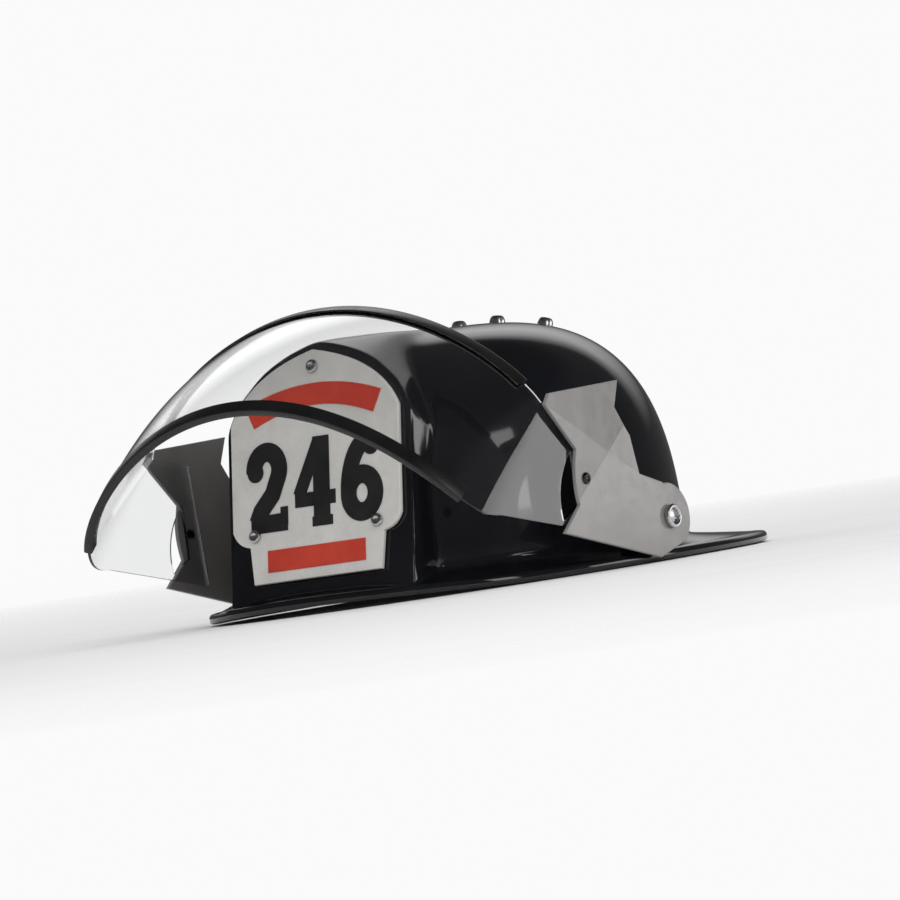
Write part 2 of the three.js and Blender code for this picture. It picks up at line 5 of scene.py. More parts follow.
import bmesh
import bpy
import numpy as np
from mathutils import Matrix, Vector

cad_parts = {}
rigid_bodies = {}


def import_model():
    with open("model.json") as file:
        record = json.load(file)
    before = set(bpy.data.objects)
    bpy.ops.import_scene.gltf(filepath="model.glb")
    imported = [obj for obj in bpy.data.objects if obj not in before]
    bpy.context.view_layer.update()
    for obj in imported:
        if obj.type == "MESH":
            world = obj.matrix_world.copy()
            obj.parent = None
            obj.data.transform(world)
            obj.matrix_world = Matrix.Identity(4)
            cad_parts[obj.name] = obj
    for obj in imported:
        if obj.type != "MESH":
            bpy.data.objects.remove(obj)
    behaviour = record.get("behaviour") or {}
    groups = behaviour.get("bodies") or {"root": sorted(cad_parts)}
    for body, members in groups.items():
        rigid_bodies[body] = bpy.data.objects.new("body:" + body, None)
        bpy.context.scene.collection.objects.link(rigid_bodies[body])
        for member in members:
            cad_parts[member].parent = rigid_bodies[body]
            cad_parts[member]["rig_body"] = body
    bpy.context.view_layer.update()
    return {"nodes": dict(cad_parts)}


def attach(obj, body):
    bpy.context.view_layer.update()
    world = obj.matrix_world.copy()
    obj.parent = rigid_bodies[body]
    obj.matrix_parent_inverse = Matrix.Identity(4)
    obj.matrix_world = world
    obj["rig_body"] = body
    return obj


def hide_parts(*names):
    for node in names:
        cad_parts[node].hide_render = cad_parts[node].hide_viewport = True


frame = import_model()
scene = bpy.context.scene

# Dimensions in millimetres, the same as the CAD part's. +X is the helmet's left, -Y its front.
MM = 0.001
GAP = 0.3
HINGE = Vector((0, 0, 16))
DOME = dict(half_width=84, front=89, rear=91, y=-5.7, z=5, height=94.7, power=3)
WALL = 2.4
BRIM = dict(half_width=90.5, front=108.5, rear=151.74, power=2.2, thickness=2.2, foot=8.5)
BEAD = dict(width=4, height=4, lift=2.5)
SHIELD = dict(forward=102.7, z=13.3, lean=11.9, thickness=2.2, height=87.4, half_width=39.5,
              shoulder=62, notch_top=21, notch_bottom=14.5, foot=30)
BOSS = dict(margin=3.6, crest_x=13, crest_forward=18, crest_length=26, crest_rise=2.5, foot=-9,
            side_forward=60)
VISOR = dict(half_width=92, thickness=1.2, bulge=5, cheek_top=22, cheek_bottom=62, cheek_fall=0.2)
ARM = dict(inner=92.9, thickness=1.6, round=13, rivet=(53, 19.5))
TRIM = dict(thickness=3.4, slot=1.9, depth=4, lip=1.5, front_reach=72, top_reach=70)
HEADBAND = dict(radius=68, half_straight=14, y=-5.3, z=8, height=26, thickness=1.8)
STRAP = dict(width=18, thickness=1.2, top=86, foot=22.5, side_power=3.2, crown_power=2.4)
PAD = dict(thickness=3.2, half_angle=39)


def lerp(a, b, share):
    return a + (b - a) * share


# ---------- node helpers for materials ----------

def principled(name, **sockets):
    """A new material, with its shader's uniform values set on the sockets themselves."""
    material = bpy.data.materials.new(name)
    material.use_nodes = True
    shader = material.node_tree.nodes["Principled BSDF"]
    for socket, value in sockets.items():
        shader.inputs[socket.replace("_", " ")].default_value = value
    return material


def add_node(material, kind, inputs=None, **settings):
    """A node with its settings, its inputs given as values or as other nodes' outputs."""
    node = material.node_tree.nodes.new(kind)
    for name, value in settings.items():
        setattr(node, name, value)
    for key, value in (inputs or {}).items():
        if isinstance(value, bpy.types.NodeSocket):
            material.node_tree.links.new(value, node.inputs[key])
        else:
            node.inputs[key].default_value = value
    return node


def place(material):
    """Where a point lies on the object, in metres."""
    return add_node(material, "ShaderNodeTexCoord").outputs["Object"]


def noise(material, scale, detail=3.0, roughness=0.5, stretch=(1, 1, 1)):
    moved = add_node(material, "ShaderNodeMapping", {"Vector": place(material), "Scale": stretch})
    inputs = {"Vector": moved.outputs[0], "Scale": scale, "Detail": detail, "Roughness": roughness}
    return add_node(material, "ShaderNodeTexNoise", inputs).outputs["Fac"]


def ramp(material, factor, low, high, start=0.3, end=0.7):
    """A colour or a grey level that runs from low to high as the factor runs from start to end."""
    node = add_node(material, "ShaderNodeValToRGB", {"Fac": factor})
    for element, position, value in zip(node.color_ramp.elements, (start, end), (low, high)):
        element.position = position
        element.color = (*value, 1) if hasattr(value, "__len__") else (value, value, value, 1)
    return node.outputs["Color"]


def mix(material, factor, a, b, blend="MIX"):
    node = add_node(material, "ShaderNodeMix", data_type="RGBA", blend_type=blend)
    for index, value in ((0, factor), (6, a), (7, b)):
        if isinstance(value, bpy.types.NodeSocket):
            material.node_tree.links.new(value, node.inputs[index])
        else:
            node.inputs[index].default_value = value
    return node.outputs[2]


def drive(material, socket, output):
    shader = material.node_tree.nodes["Principled BSDF"]
    material.node_tree.links.new(output, shader.inputs[socket])


def bump(material, layers):
    """Raises the surface by several height layers, each a (height, depth in metres) pair."""
    normal = None
    for height, depth in layers:
        inputs = {"Height": height, "Distance": depth, "Strength": 1.0}
        if normal is not None:
            inputs["Normal"] = normal
        normal = add_node(material, "ShaderNodeBump", inputs).outputs["Normal"]
    drive(material, "Normal", normal)


# ---------- materials ----------

def gloss_black():
    """Injection-moulded shell: near black, wavy, with faint smudges and hairline scuffs."""
    material = principled("gloss_black_shell", IOR=1.5)
    smudge = noise(material, 26, 4, 0.6)
    scuff = noise(material, 420, 2, 0.7, (1, 0.06, 0.5))
    drive(material, "Base Color", ramp(material, smudge, (0.0035, 0.0037, 0.005), (0.007, 0.0075, 0.0105)))
    scuffed = mix(material, ramp(material, scuff, 0, 1, 0.62, 0.78), (0.06,) * 3 + (1,), (0.22,) * 3 + (1,))
    drive(material, "Roughness", mix(material, ramp(material, smudge, 0, 0.5), scuffed, (0.13,) * 3 + (1,)))
    bump(material, [(noise(material, 24, 1), 0.00018), (noise(material, 700, 2), 0.000006)])
    return material


def satin_black(name, level=0.012, roughness=0.38):
    """Moulded edge trims and inner fittings: dark, finely grained."""
    material = principled(name, IOR=1.48)
    grain = noise(material, 1500, 2)
    cloud = noise(material, 60, 3)
    drive(material, "Base Color", ramp(material, cloud, (level * 0.8,) * 3, (level * 1.3,) * 3))
    drive(material, "Roughness", ramp(material, cloud, roughness - 0.08, roughness + 0.08))
    bump(material, [(noise(material, 90, 2), 0.0001), (grain, 0.00002)])
    return material


def painted(name, dark, light, roughness=0.36):
    """Printed or painted plastic with slight mottling of tone and gloss."""
    material = principled(name, IOR=1.46)
    cloud = noise(material, 95, 5, 0.65)
    speck = ramp(material, noise(material, 2600, 1), 0.9, 1.0, 0.34, 0.46)
    drive(material, "Base Color", mix(material, 1.0, ramp(material, cloud, dark, light), speck, "MULTIPLY"))
    drive(material, "Roughness", ramp(material, cloud, roughness - 0.07, roughness + 0.1))
    bump(material, [(noise(material, 55, 2), 0.00012), (noise(material, 1800, 2), 0.000012)])
    return material


def grey_plastic():
    """Side arms: smooth grey plastic with flow marks from the mould and small scuffs."""
    material = principled("arm_grey_plastic", IOR=1.47)
    flow = noise(material, 30, 4, 0.6, (1, 1, 0.35))
    scuff = noise(material, 260, 3, 0.6)
    drive(material, "Base Color", ramp(material, flow, (0.175, 0.168, 0.163), (0.225, 0.215, 0.209)))
    drive(material, "Roughness", ramp(material, scuff, 0.12, 0.2, 0.45, 0.75))
    bump(material, [(noise(material, 40, 2), 0.0002), (noise(material, 1400, 2), 0.00001)])
    return material


def nickel(name, level=0.6):
    """Turned and plated rivets: fine rings of brushing and duller spots."""
    material = principled(name, Metallic=1.0)
    spots = noise(material, 900, 3)
    drive(material, "Base Color", ramp(material, spots, (level * 0.8,) * 3, (level, level, level * 1.03)))
    drive(material, "Roughness", ramp(material, spots, 0.16, 0.34))
    bump(material, [(noise(material, 2500, 2), 0.00001)])
    return material


def clear_plastic():
    """The visor's sheet: clear, lets lamps through, with faint haze and waviness."""
    material = principled("visor_clear_plastic", IOR=1.46, Transmission_Weight=1.0)
    tree = material.node_tree
    haze = noise(material, 45, 4, 0.6)
    drive(material, "Base Color", ramp(material, haze, (0.965, 0.97, 0.975), (0.985, 0.99, 0.99)))
    drive(material, "Roughness", ramp(material, haze, 0.012, 0.05, 0.35, 0.75))
    bump(material, [(noise(material, 18, 1), 0.00014)])
    through = add_node(material, "ShaderNodeBsdfTransparent")
    path = add_node(material, "ShaderNodeLightPath")
    shader = tree.nodes["Principled BSDF"].outputs[0]
    inputs = {0: path.outputs["Is Shadow Ray"], 1: shader, 2: through.outputs[0]}
    mixed = add_node(material, "ShaderNodeMixShader", inputs)
    tree.links.new(mixed.outputs[0], tree.nodes["Material Output"].inputs["Surface"])
    return material


def webbing():
    """Woven strap: two crossing sets of yarns in relief, slightly faded."""
    material = principled("strap_webbing", IOR=1.45, Sheen_Weight=0.3)
    across = add_node(material, "ShaderNodeTexWave", {"Vector": place(material), "Scale": 260.0,
                      "Distortion": 0.4}, bands_direction="DIAGONAL")
    along = add_node(material, "ShaderNodeTexWave", {"Vector": place(material), "Scale": 330.0,
                     "Distortion": 0.6}, bands_direction="Z")
    weave = mix(material, 1.0, across.outputs["Color"], along.outputs["Color"], "MULTIPLY")
    fade = ramp(material, noise(material, 70, 4), (0.03, 0.03, 0.033), (0.055, 0.055, 0.06))
    shade = ramp(material, weave, 0.5, 1.0, 0, 0.7)
    drive(material, "Base Color", mix(material, 1.0, fade, shade, "MULTIPLY"))
    drive(material, "Roughness", ramp(material, weave, 0.95, 0.75))
    bump(material, [(weave, 0.00025)])
    return material


def foam():
    """Brow pad: knitted cover over foam, a fine cell pattern in relief."""
    material = principled("brow_pad_cover", IOR=1.4, Sheen_Weight=0.4)
    cells = add_node(material, "ShaderNodeTexVoronoi", {"Vector": place(material), "Scale": 900.0})
    cloud = noise(material, 120, 4)
    tone = ramp(material, cloud, (0.035, 0.035, 0.04), (0.06, 0.06, 0.066))
    shade = ramp(material, cells.outputs["Distance"], 0.45, 1.0, 0.0, 0.7)
    drive(material, "Base Color", mix(material, 1.0, tone, shade, "MULTIPLY"))
    drive(material, "Roughness", ramp(material, cloud, 0.85, 0.98))
    bump(material, [(cells.outputs["Distance"], 0.0003), (cloud, 0.0004)])
    return material


LOOK = {
    "shell": gloss_black(),
    "trim": satin_black("black_edge_trim", 0.008, 0.3),
    "fitting": satin_black("black_inner_fitting", 0.02, 0.45),
    "white": painted("shield_white_plastic", (0.54, 0.525, 0.5), (0.63, 0.615, 0.59), 0.34),
    "red": painted("band_red_print", (0.46, 0.030, 0.014), (0.58, 0.044, 0.02), 0.42),
    "ink": painted("number_black_print", (0.010, 0.010, 0.011), (0.018, 0.017, 0.017), 0.42),
    "arm": grey_plastic(),
    "nickel": nickel("nickel_rivet"),
    "dark_metal": nickel("dark_rivet", 0.06),
    "clear": clear_plastic(),
    "webbing": webbing(),
    "foam": foam(),
}


# ---------- mesh helpers ----------

def show(name, points, faces, look, body, slot, nodes=(), sharp=32):
    """A smooth-shaded piece from points in millimetres, riding on a body in place of CAD nodes."""
    mesh = bpy.data.meshes.new(name)
    mesh.from_pydata([Vector(p) * MM for p in points], [], faces)
    return show_mesh(name, mesh, look, body, nodes, sharp)


def show_mesh(name, mesh, look, body, nodes=(), sharp=32):
    work = bmesh.new()
    work.from_mesh(mesh)
    bmesh.ops.remove_doubles(work, verts=work.verts, dist=1e-7)
    bmesh.ops.recalc_face_normals(work, faces=work.faces)
    work.to_mesh(mesh)
    work.free()
    mesh.materials.clear()
    mesh.materials.append(LOOK[look])
    mesh.shade_smooth()
    mesh.set_sharp_from_angle(angle=math.radians(sharp))
    piece = bpy.data.objects.new(name, mesh)
    scene.collection.objects.link(piece)
    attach(piece, body)
    if nodes:
        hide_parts(*nodes)
    return piece


def loft(sections, ring=False):
    """Points and faces of a skin through closed sections, with flat ends unless it is a ring."""
    count = len(sections[0])
    points = [p for section in sections for p in section]
    faces = []
    for i in range(len(sections) if ring else len(sections) - 1):
        here = i * count
        there = ((i + 1) % len(sections)) * count
        for j in range(count):
            k = (j + 1) % count
            faces.append((here + j, here + k, there + k, there + j))
    if not ring:
        faces.append(tuple(range(count)))
        faces.append(tuple(range(len(points) - count, len(points))))
    return points, faces


def turned(profile, origin, direction, segments=48):
    """Points and faces of a body of revolution from (radius, height) pairs along a direction."""
    turn = Vector((0, 0, 1)).rotation_difference(Vector(direction)).to_matrix()
    sections = []
    for i in range(segments):
        angle = 2 * math.pi * i / segments
        wheel = [Vector((r * math.cos(angle), r * math.sin(angle), h)) for r, h in profile]
        sections.append([Vector(origin) + turn @ p for p in wheel])
    return loft(sections, ring=True)


def flat_plate(outlines, thickness, bevel, basis):
    """A mesh of a flat plate with rounded edges, from closed outlines in its own plane.

    The first two axes of the basis are the plane's, and the third is the thickness, from 0 up."""
    curve = bpy.data.curves.new("outline", "CURVE")
    curve.dimensions = "2D"
    curve.fill_mode = "BOTH"
    curve.extrude = thickness / 2 - bevel
    curve.bevel_depth = bevel
    curve.bevel_resolution = 2
    curve.offset = -bevel
    for outline in outlines:
        spline = curve.splines.new("POLY")
        spline.points.add(len(outline) - 1)
        for point, (x, y) in zip(spline.points, outline):
            point.co = (x, y, 0, 1)
        spline.use_cyclic_u = True
    holder = bpy.data.objects.new("outline", curve)
    scene.collection.objects.link(holder)
    bpy.context.view_layer.update()
    mesh = bpy.data.meshes.new_from_object(holder.evaluated_get(bpy.context.evaluated_depsgraph_get()))
    bpy.data.objects.remove(holder)
    mesh.transform(basis @ Matrix.Translation((0, 0, thickness / 2)))
    return mesh


def quadratic(a, control, b, steps=12):
    """Points of a curve from a towards its control point and on to b, without a itself."""
    a, control, b = Vector(a), Vector(control), Vector(b)
    curve = []
    for i in range(1, steps + 1):
        t = i / steps
        curve.append(tuple(a * (1 - t) ** 2 + control * 2 * t * (1 - t) + b * t * t))
    return curve


def circle(centre, radius, steps=32):
    return [(centre[0] + radius * math.cos(2 * math.pi * i / steps),
             centre[1] + radius * math.sin(2 * math.pi * i / steps)) for i in range(steps)]


# ---------- shield frame and outline ----------

LEAN = math.radians(SHIELD["lean"])
SHIELD_ORIGIN = Vector((0, -SHIELD["forward"], SHIELD["z"]))
SHIELD_UP = Vector((0, math.sin(LEAN), math.cos(LEAN)))
SHIELD_OUT = Vector((0, -math.cos(LEAN), math.sin(LEAN)))


def on_shield(x, y, out):
    return SHIELD_ORIGIN + Vector((x, 0, 0)) + SHIELD_UP * y + SHIELD_OUT * out


def shield_basis(out):
    """From the shield's own plane, in millimetres, to the row frame in metres."""
    axes = Matrix((Vector((1, 0, 0)), SHIELD_UP, SHIELD_OUT)).transposed().to_4x4()
    return Matrix.Scale(MM, 4) @ Matrix.Translation(on_shield(0, 0, out)) @ axes


def shield_outline(steps=16):
    """Pointed arch, straight sides, stepped in to a narrower foot."""
    s = SHIELD
    foot, wide, low, high = s["foot"], s["half_width"], s["notch_bottom"], s["notch_top"]
    side = [(foot, 0), (foot + 1.5, low)]
    side += quadratic(side[-1], (wide - 2, low + 1), (wide, high), 6)
    side.append((wide, s["shoulder"]))
    side += quadratic(side[-1], (wide - 8.5, s["shoulder"] + 19), (0, s["height"]), steps)
    return side + [(-x, y) for x, y in reversed(side[:-1])]


# ---------- shell ----------

def boss_points(inset):
    """Corners of the raised boss: the shield's outline widened, run back to a crest on the crown."""
    grow = BOSS["margin"] - inset
    face = -SHIELD["thickness"] - GAP - inset
    wide = SHIELD["half_width"] + grow
    corners = []
    for x, y in shield_outline(4):
        if y < SHIELD["shoulder"]:
            continue
        out = Vector((x, (y - SHIELD["shoulder"]) * 1.6)).normalized() * grow
        corners.append(on_shield(x + out.x, y + out.y, face))
    crest_z = DOME["z"] + DOME["height"] + BOSS["crest_rise"] - inset
    for side in (-1, 1):
        crest_x = side * (BOSS["crest_x"] - inset)
        corners.append(on_shield(side * wide, BOSS["foot"], face))
        corners.append(Vector((crest_x, -BOSS["crest_forward"], crest_z - 3)))
        corners.append(Vector((crest_x, -BOSS["crest_forward"] - BOSS["crest_length"], crest_z - 0.6)))
        corners.append(Vector((side * wide, -BOSS["side_forward"], DOME["z"] + 50)))
        corners.append(Vector((side * wide, -BOSS["side_forward"], DOME["z"] + 2)))
    return corners


def hull_planes(corners):
    """The faces of the corners' convex hull, as outward normals and distances."""
    work = bmesh.new()
    for corner in corners:
        work.verts.new(corner)
    bmesh.ops.convex_hull(work, input=work.verts)
    middle = sum((Vector(c) for c in corners), Vector()) / len(corners)
    planes = {}
    for face in work.faces:
        face.normal_update()
        normal = face.normal if (face.verts[0].co - middle).dot(face.normal) > 0 else -face.normal
        planes[tuple(round(n, 2) for n in normal)] = (*normal, normal.dot(face.verts[0].co))
    work.free()
    table = np.array(list(planes.values()))
    return table[:, :3], table[:, 3]


BOSS_PLANES = {inset: hull_planes(boss_points(inset)) for inset in (0, WALL)}
EDGE_ROUNDING = 0.6  # softness of the boss's own edges
BLEND_ROUNDING = 1.1  # softness of the line where it meets the dome


def shell_distance(points, inset):
    """How far points lie outside the dome and boss together, their meeting line filleted."""
    centred = points[:, 1] - DOME["y"]
    length = np.where(centred < 0, DOME["front"], DOME["rear"]) - inset
    level = np.hypot(points[:, 0] / (DOME["half_width"] - inset), centred / length)
    rise = np.maximum(points[:, 2] - DOME["z"], 0) / (DOME["height"] - inset)
    dome = ((level ** DOME["power"] + rise ** DOME["power"]) ** (1 / DOME["power"]) - 1) * DOME["front"]
    normals, offsets = BOSS_PLANES[inset]
    boss = EDGE_ROUNDING * np.log(np.exp((points @ normals.T - offsets) / EDGE_ROUNDING).sum(axis=1))
    both = np.exp(-dome / BLEND_ROUNDING) + np.exp(-boss / BLEND_ROUNDING)
    return -BLEND_ROUNDING * np.log(np.maximum(both, 1e-300))


def reach(origins, directions, inset):
    """The distance from each origin along its direction to the shell's face."""
    low = np.zeros(len(origins))
    high = np.full(len(origins), 150.0)
    for _ in range(24):
        middle = (low + high) / 2
        outside = shell_distance(origins + directions * middle[:, None], inset) > 0
        high = np.where(outside, middle, high)
        low = np.where(outside, low, middle)
    return low


def stepped(*spans):
    """Numbers in order through (start, end, count) spans, each without its end."""
    return np.concatenate([np.linspace(a, b, n, endpoint=False) for a, b, n in spans])


EYE = 12.0  # height of the point that the dome's columns look out from
LOW = 6.0  # height at which the wall's foot is measured


def wall_radius(angles, height, inset):
    flat = np.stack([np.cos(angles), np.sin(angles), np.zeros_like(angles)], axis=1)
    return reach(np.tile([0, DOME["y"], height], (len(angles), 1)), flat, inset)


def brim_column(angle, outer, inner):
    """(radius, height) pairs from the wall's foot out over the brim, round its bead and back in.

    outer and inner are the wall's radii at the low height, outside and inside."""
    ahead = math.sin(angle) < 0
    end = "front" if ahead else "rear"
    across = abs(math.cos(angle) / BRIM["half_width"]) ** BRIM["power"]
    edge = (across + abs(math.sin(angle) / BRIM[end]) ** BRIM["power"]) ** (-1 / BRIM["power"])
    dome_length = DOME[end]
    foot = 1 / math.hypot(math.cos(angle) / DOME["half_width"], math.sin(angle) / dome_length)
    lift = BEAD["lift"] * (max(0, -math.sin(angle) - 0.6) / 0.4) ** 2
    bead_start = edge - BEAD["width"]

    def top(radius):
        share = min(1, max(0, (radius - foot) / (bead_start - foot)))
        return lerp(BRIM["foot"], BEAD["height"] + lift, share)

    fillet = min(2.5, 0.4 * (edge - outer))
    column = []
    for i in range(9):
        turn = math.pi / 2 * i / 8
        radius = outer + fillet * (1 - math.cos(turn))
        column.append((radius, top(radius) + fillet * (1 - math.sin(turn))))
    flat_end = max(bead_start, outer + fillet * 1.1)
    for i in range(1, 9):
        radius = lerp(outer + fillet, flat_end, i / 8)
        column.append((radius, top(radius)))
    squeeze = (edge - flat_end) / BEAD["width"]
    for back, height in ((2.6, 4.05), (1.4, 3.9), (0.6, 3.5), (0.15, 2.8), (0, 2), (0, 1.1)):
        column.append((edge - back * squeeze, height + lift))
    for back, height in ((0.25, 0.45), (0.8, 0.1), (1.6, 0), (3.2, 0), (3.9, 0.3), (4.3, 1.0)):
        column.append((edge - back * max(squeeze, 0.5), height + lift))
    last = min(edge - 5, bead_start)
    inside = min(inner + 1, last - 0.3)
    for i in range(7):
        radius = lerp(last, inside, i / 6)
        column.append((radius, top(radius) - BRIM["thickness"]))
    column.append((inner + 0.15, top(inner) - BRIM["thickness"] + 0.6))
    return column


def build_shell():
    half = np.radians(stepped((0, 20, 40), (20, 34, 64), (34, 60, 30), (60, 180, 84)))
    from_front = np.concatenate([half, 2 * np.pi - half[::-1][:-1]])
    angles = from_front - np.pi / 2
    rises = np.radians(stepped((0, 25, 22), (25, 53, 70), (53, 88, 30)))
    inner_rises = np.radians(stepped((0, 88, 34)))
    centre = np.array([0, DOME["y"], EYE])
    outer_foot = wall_radius(angles, LOW, 0)
    inner_foot = wall_radius(angles, LOW, WALL)
    points = []
    for index, angle in enumerate(angles):
        level = np.array([math.cos(angle), math.sin(angle), 0])

        def arc(elevations, inset):
            directions = np.cos(elevations)[:, None] * level + np.sin(elevations)[:, None] * [0, 0, 1]
            distances = reach(np.tile(centre, (len(elevations), 1)), directions, inset)
            return centre + directions * distances[:, None]

        points.extend(arc(rises[::-1], 0))
        wall_outside = points[-1]
        for radius, height in brim_column(angle, outer_foot[index], inner_foot[index]):
            points.append(level * radius + [0, DOME["y"], height])
        points.extend(arc(inner_rises, WALL))
    count = len(points) // len(angles)
    crown = len(points)
    for inset in (0, WALL):
        points.append(centre + [0, 0, reach(centre[None], np.array([[0, 0, 1.0]]), inset)[0]])
    faces = []
    for i in range(len(angles)):
        here = i * count
        there = ((i + 1) % len(angles)) * count
        faces.append((crown, here, there))
        faces.extend((here + j, here + j + 1, there + j + 1, there + j) for j in range(count - 1))
        faces.append((crown + 1, there + count - 1, here + count - 1))
    show("shell_moulding", points, faces, "shell", "helmet", "shell_plastic", ["shell"], 50)


# ---------- shield ----------

SHIELD_RIVETS = ((0, SHIELD["height"] - 6.5), (-28.8, 18.6), (28.8, 18.6))
PRINT = 0.35  # thickness of the bands and the number
PRINT_LIFT = 0.01  # the little that they stand clear of the shield's face


def build_shield():
    mesh = flat_plate([shield_outline(24)], SHIELD["thickness"], 0.55, shield_basis(-SHIELD["thickness"]))
    show_mesh("front_shield_plate", mesh, "white", "helmet", ["front_shield"])
    bands = {"band_upper": band_outline(32, 28, 68.5, 60, 6), "band_lower": band_outline(23, 23, 12.5, 4, 0)}
    for name, outline in bands.items():
        mesh = flat_plate([outline], PRINT, 0.08, shield_basis(PRINT_LIFT))
        show_mesh(name, mesh, "red", "helmet", ["shield_" + name])


def band_outline(half_top, half_bottom, end_top, end_bottom, bow):
    """An arched band: straight ends, top and bottom bowed upwards."""
    outline = [(-half_bottom, end_bottom)]
    outline += quadratic(outline[0], (0, end_bottom + 2 * bow), (half_bottom, end_bottom), 24)
    outline.append((half_top, end_top))
    outline += quadratic(outline[-1], (0, end_top + 2 * bow), (-half_top, end_top), 24)
    return outline


def arc_points(centre, radii, start, end, steps=20):
    angles = [math.radians(lerp(start, end, i / steps)) for i in range(steps + 1)]
    return [(centre[0] + radii[0] * math.cos(a), centre[1] + radii[1] * math.sin(a)) for a in angles]


# Each digit is a set of strokes, a path in a box of width 1 and height 1 and a thickness in mm.
DIGITS = {
    "2": [(arc_points((0.47, 0.70), (0.31, 0.20), 185, -30, 26)
           + [(0.60, 0.42), (0.30, 0.24), (0.20, 0.12)], 7.4),
          ([(0.06, 0.10), (0.96, 0.10)], 6.9), ([(0.88, 0.06), (0.88, 0.27)], 3.4),
          (arc_points((0.19, 0.68), (0.10, 0.055), 0, 360, 20), 3.6)],
    "4": [([(0.62, 0.97), (0.10, 0.36)], 5.6), ([(0.0, 0.31), (1.0, 0.31)], 5.4),
          ([(0.66, 0.03), (0.66, 1.0)], 7.6), ([(0.42, 0.055), (0.92, 0.055)], 3.8)],
    "6": [(arc_points((0.5, 0.30), (0.33, 0.21), 0, 360, 40), 7.2),
          (arc_points((0.72, 0.33), (0.55, 0.57), 184, 96, 20), 7.2),
          (arc_points((0.74, 0.82), (0.10, 0.055), 0, 360, 20), 3.6)],
}


def stroke_solid(points, width, size, place_at):
    """A prism along a path, as an object for joining to others."""
    path = [Vector((place_at[0] + x * size[0], place_at[1] + y * size[1])) for x, y in points]
    closed = (path[0] - path[-1]).length < 1e-6
    if closed:
        path.pop()
    sides = ([], [])
    for i, p in enumerate(path):
        before = path[i - 1] if closed or i > 0 else p
        after = path[(i + 1) % len(path)] if closed or i < len(path) - 1 else p
        along = (after - before).normalized()
        across = Vector((-along.y, along.x)) * width / 2
        sides[0].append(p + across)
        sides[1].append(p - across)
    sections = []
    for a, b in zip(*sides):
        sections.append([(a.x, a.y, 0), (b.x, b.y, 0), (b.x, b.y, PRINT), (a.x, a.y, PRINT)])
    mesh = bpy.data.meshes.new("stroke")
    solid_points, faces = loft(sections, ring=closed)
    mesh.from_pydata(solid_points, [], faces)
    return solid_object(mesh)


NUMBER = dict(digits="246", size=(19, 34.5), left=-31.5, foot=19.5, pitch=22)


def build_number():
    """A plain three-digit number in heavy slab strokes, each digit one joined solid."""
    for index, digit in enumerate(NUMBER["digits"]):
        corner = (NUMBER["left"] + index * NUMBER["pitch"], NUMBER["foot"])
        solids = [stroke_solid(points, width, NUMBER["size"], corner) for points, width in DIGITS[digit]]
        whole = solids[0]
        for other in solids[1:]:
            union = whole.modifiers.new("union", "BOOLEAN")
            union.operation = "UNION"
            union.solver = "EXACT"
            union.object = other
        bpy.context.view_layer.update()
        joined = whole.evaluated_get(bpy.context.evaluated_depsgraph_get())
        mesh = bpy.data.meshes.new_from_object(joined)
        for solid in solids:
            bpy.data.objects.remove(solid)
        mesh.transform(shield_basis(PRINT_LIFT))
        show_mesh(f"number_digit_{index + 1}", mesh, "ink", "helmet")


# ---------- visor ----------

# The two edges of the arch: where their ends stand, and how far their middles bow forwards and rise.
TOP_EDGE = dict(forward=71.2, bow=4.7, bow_power=1, foot=66, rise=46.3, rise_power=1.58)
FRONT_EDGE = dict(forward=109, bow=34.8, bow_power=0.6, foot=27, rise=53, rise_power=1.55)


def edge_point(edge, angle):
    middle = max(0.0, math.cos(angle))
    forward = edge["forward"] + edge["bow"] * middle ** edge["bow_power"]
    height = edge["foot"] + edge["rise"] * middle ** edge["rise_power"]
    return Vector((VISOR["half_width"] * math.sin(angle), -forward, height))


ARCH_SHARE = 0.8  # part of the sheet's width taken by the arch, the rest by the cheeks


def visor_point(across, down):
    """The clear sheet: an arch between its two edges, then flat cheeks back under the arms."""
    t = (across * 2 - 1) / ARCH_SHARE
    angle = max(-1.0, min(1.0, t)) * math.pi / 2
    point = edge_point(TOP_EDGE, angle).lerp(edge_point(FRONT_EDGE, angle), down)
    swell = VISOR["bulge"] * 4 * down * (1 - down) * max(0.0, math.cos(angle)) ** 0.8
    beyond = max(0.0, abs(t) - 1) / (1 / ARCH_SHARE - 1)
    run = beyond * lerp(VISOR["cheek_top"], VISOR["cheek_bottom"], down)
    return point + Vector((0, run - swell * 0.6, swell * 0.8 - run * VISOR["cheek_fall"]))


def build_sheet(columns=160, rows=20):
    """The sheet as a closed body of even thickness."""
    grid = [[visor_point(i / columns, j / rows) for j in range(rows + 1)] for i in range(columns + 1)]

    def normal(i, j):
        along = grid[min(i + 1, columns)][j] - grid[max(i - 1, 0)][j]
        across = grid[i][min(j + 1, rows)] - grid[i][max(j - 1, 0)]
        return along.cross(across).normalized() * VISOR["thickness"] / 2

    sections = []
    for i in range(columns + 1):
        outside = [grid[i][j] + normal(i, j) for j in range(rows + 1)]
        inside = [grid[i][j] - normal(i, j) for j in range(rows, -1, -1)]
        sections.append(outside + inside)
    points, faces = loft(sections)
    whole = show("visor_clear_sheet", points, faces, "clear", "visor", "visor_clear", ["visor_sheet"], 40)
    carve(whole, cheek_cut())
    whole.data.set_sharp_from_angle(angle=math.radians(40))


def cheek_cut():
    """A bar through both cheeks: the crescent cut in front of each arm's hollowed edge."""
    crescent = [(68.5, 5)] + quadratic((68.5, 5), (71, 20), (57, 31), 16) + [(56.5, 20), (57, 10)]
    width = VISOR["half_width"] + 10
    sections = [[Vector((x, -ahead, HINGE.z + up)) for ahead, up in crescent] for x in (-width, width)]
    points, faces = loft(sections)
    mesh = bpy.data.meshes.new("cheek_cut")
    mesh.from_pydata([p * MM for p in points], [], faces)
    return solid_object(mesh)


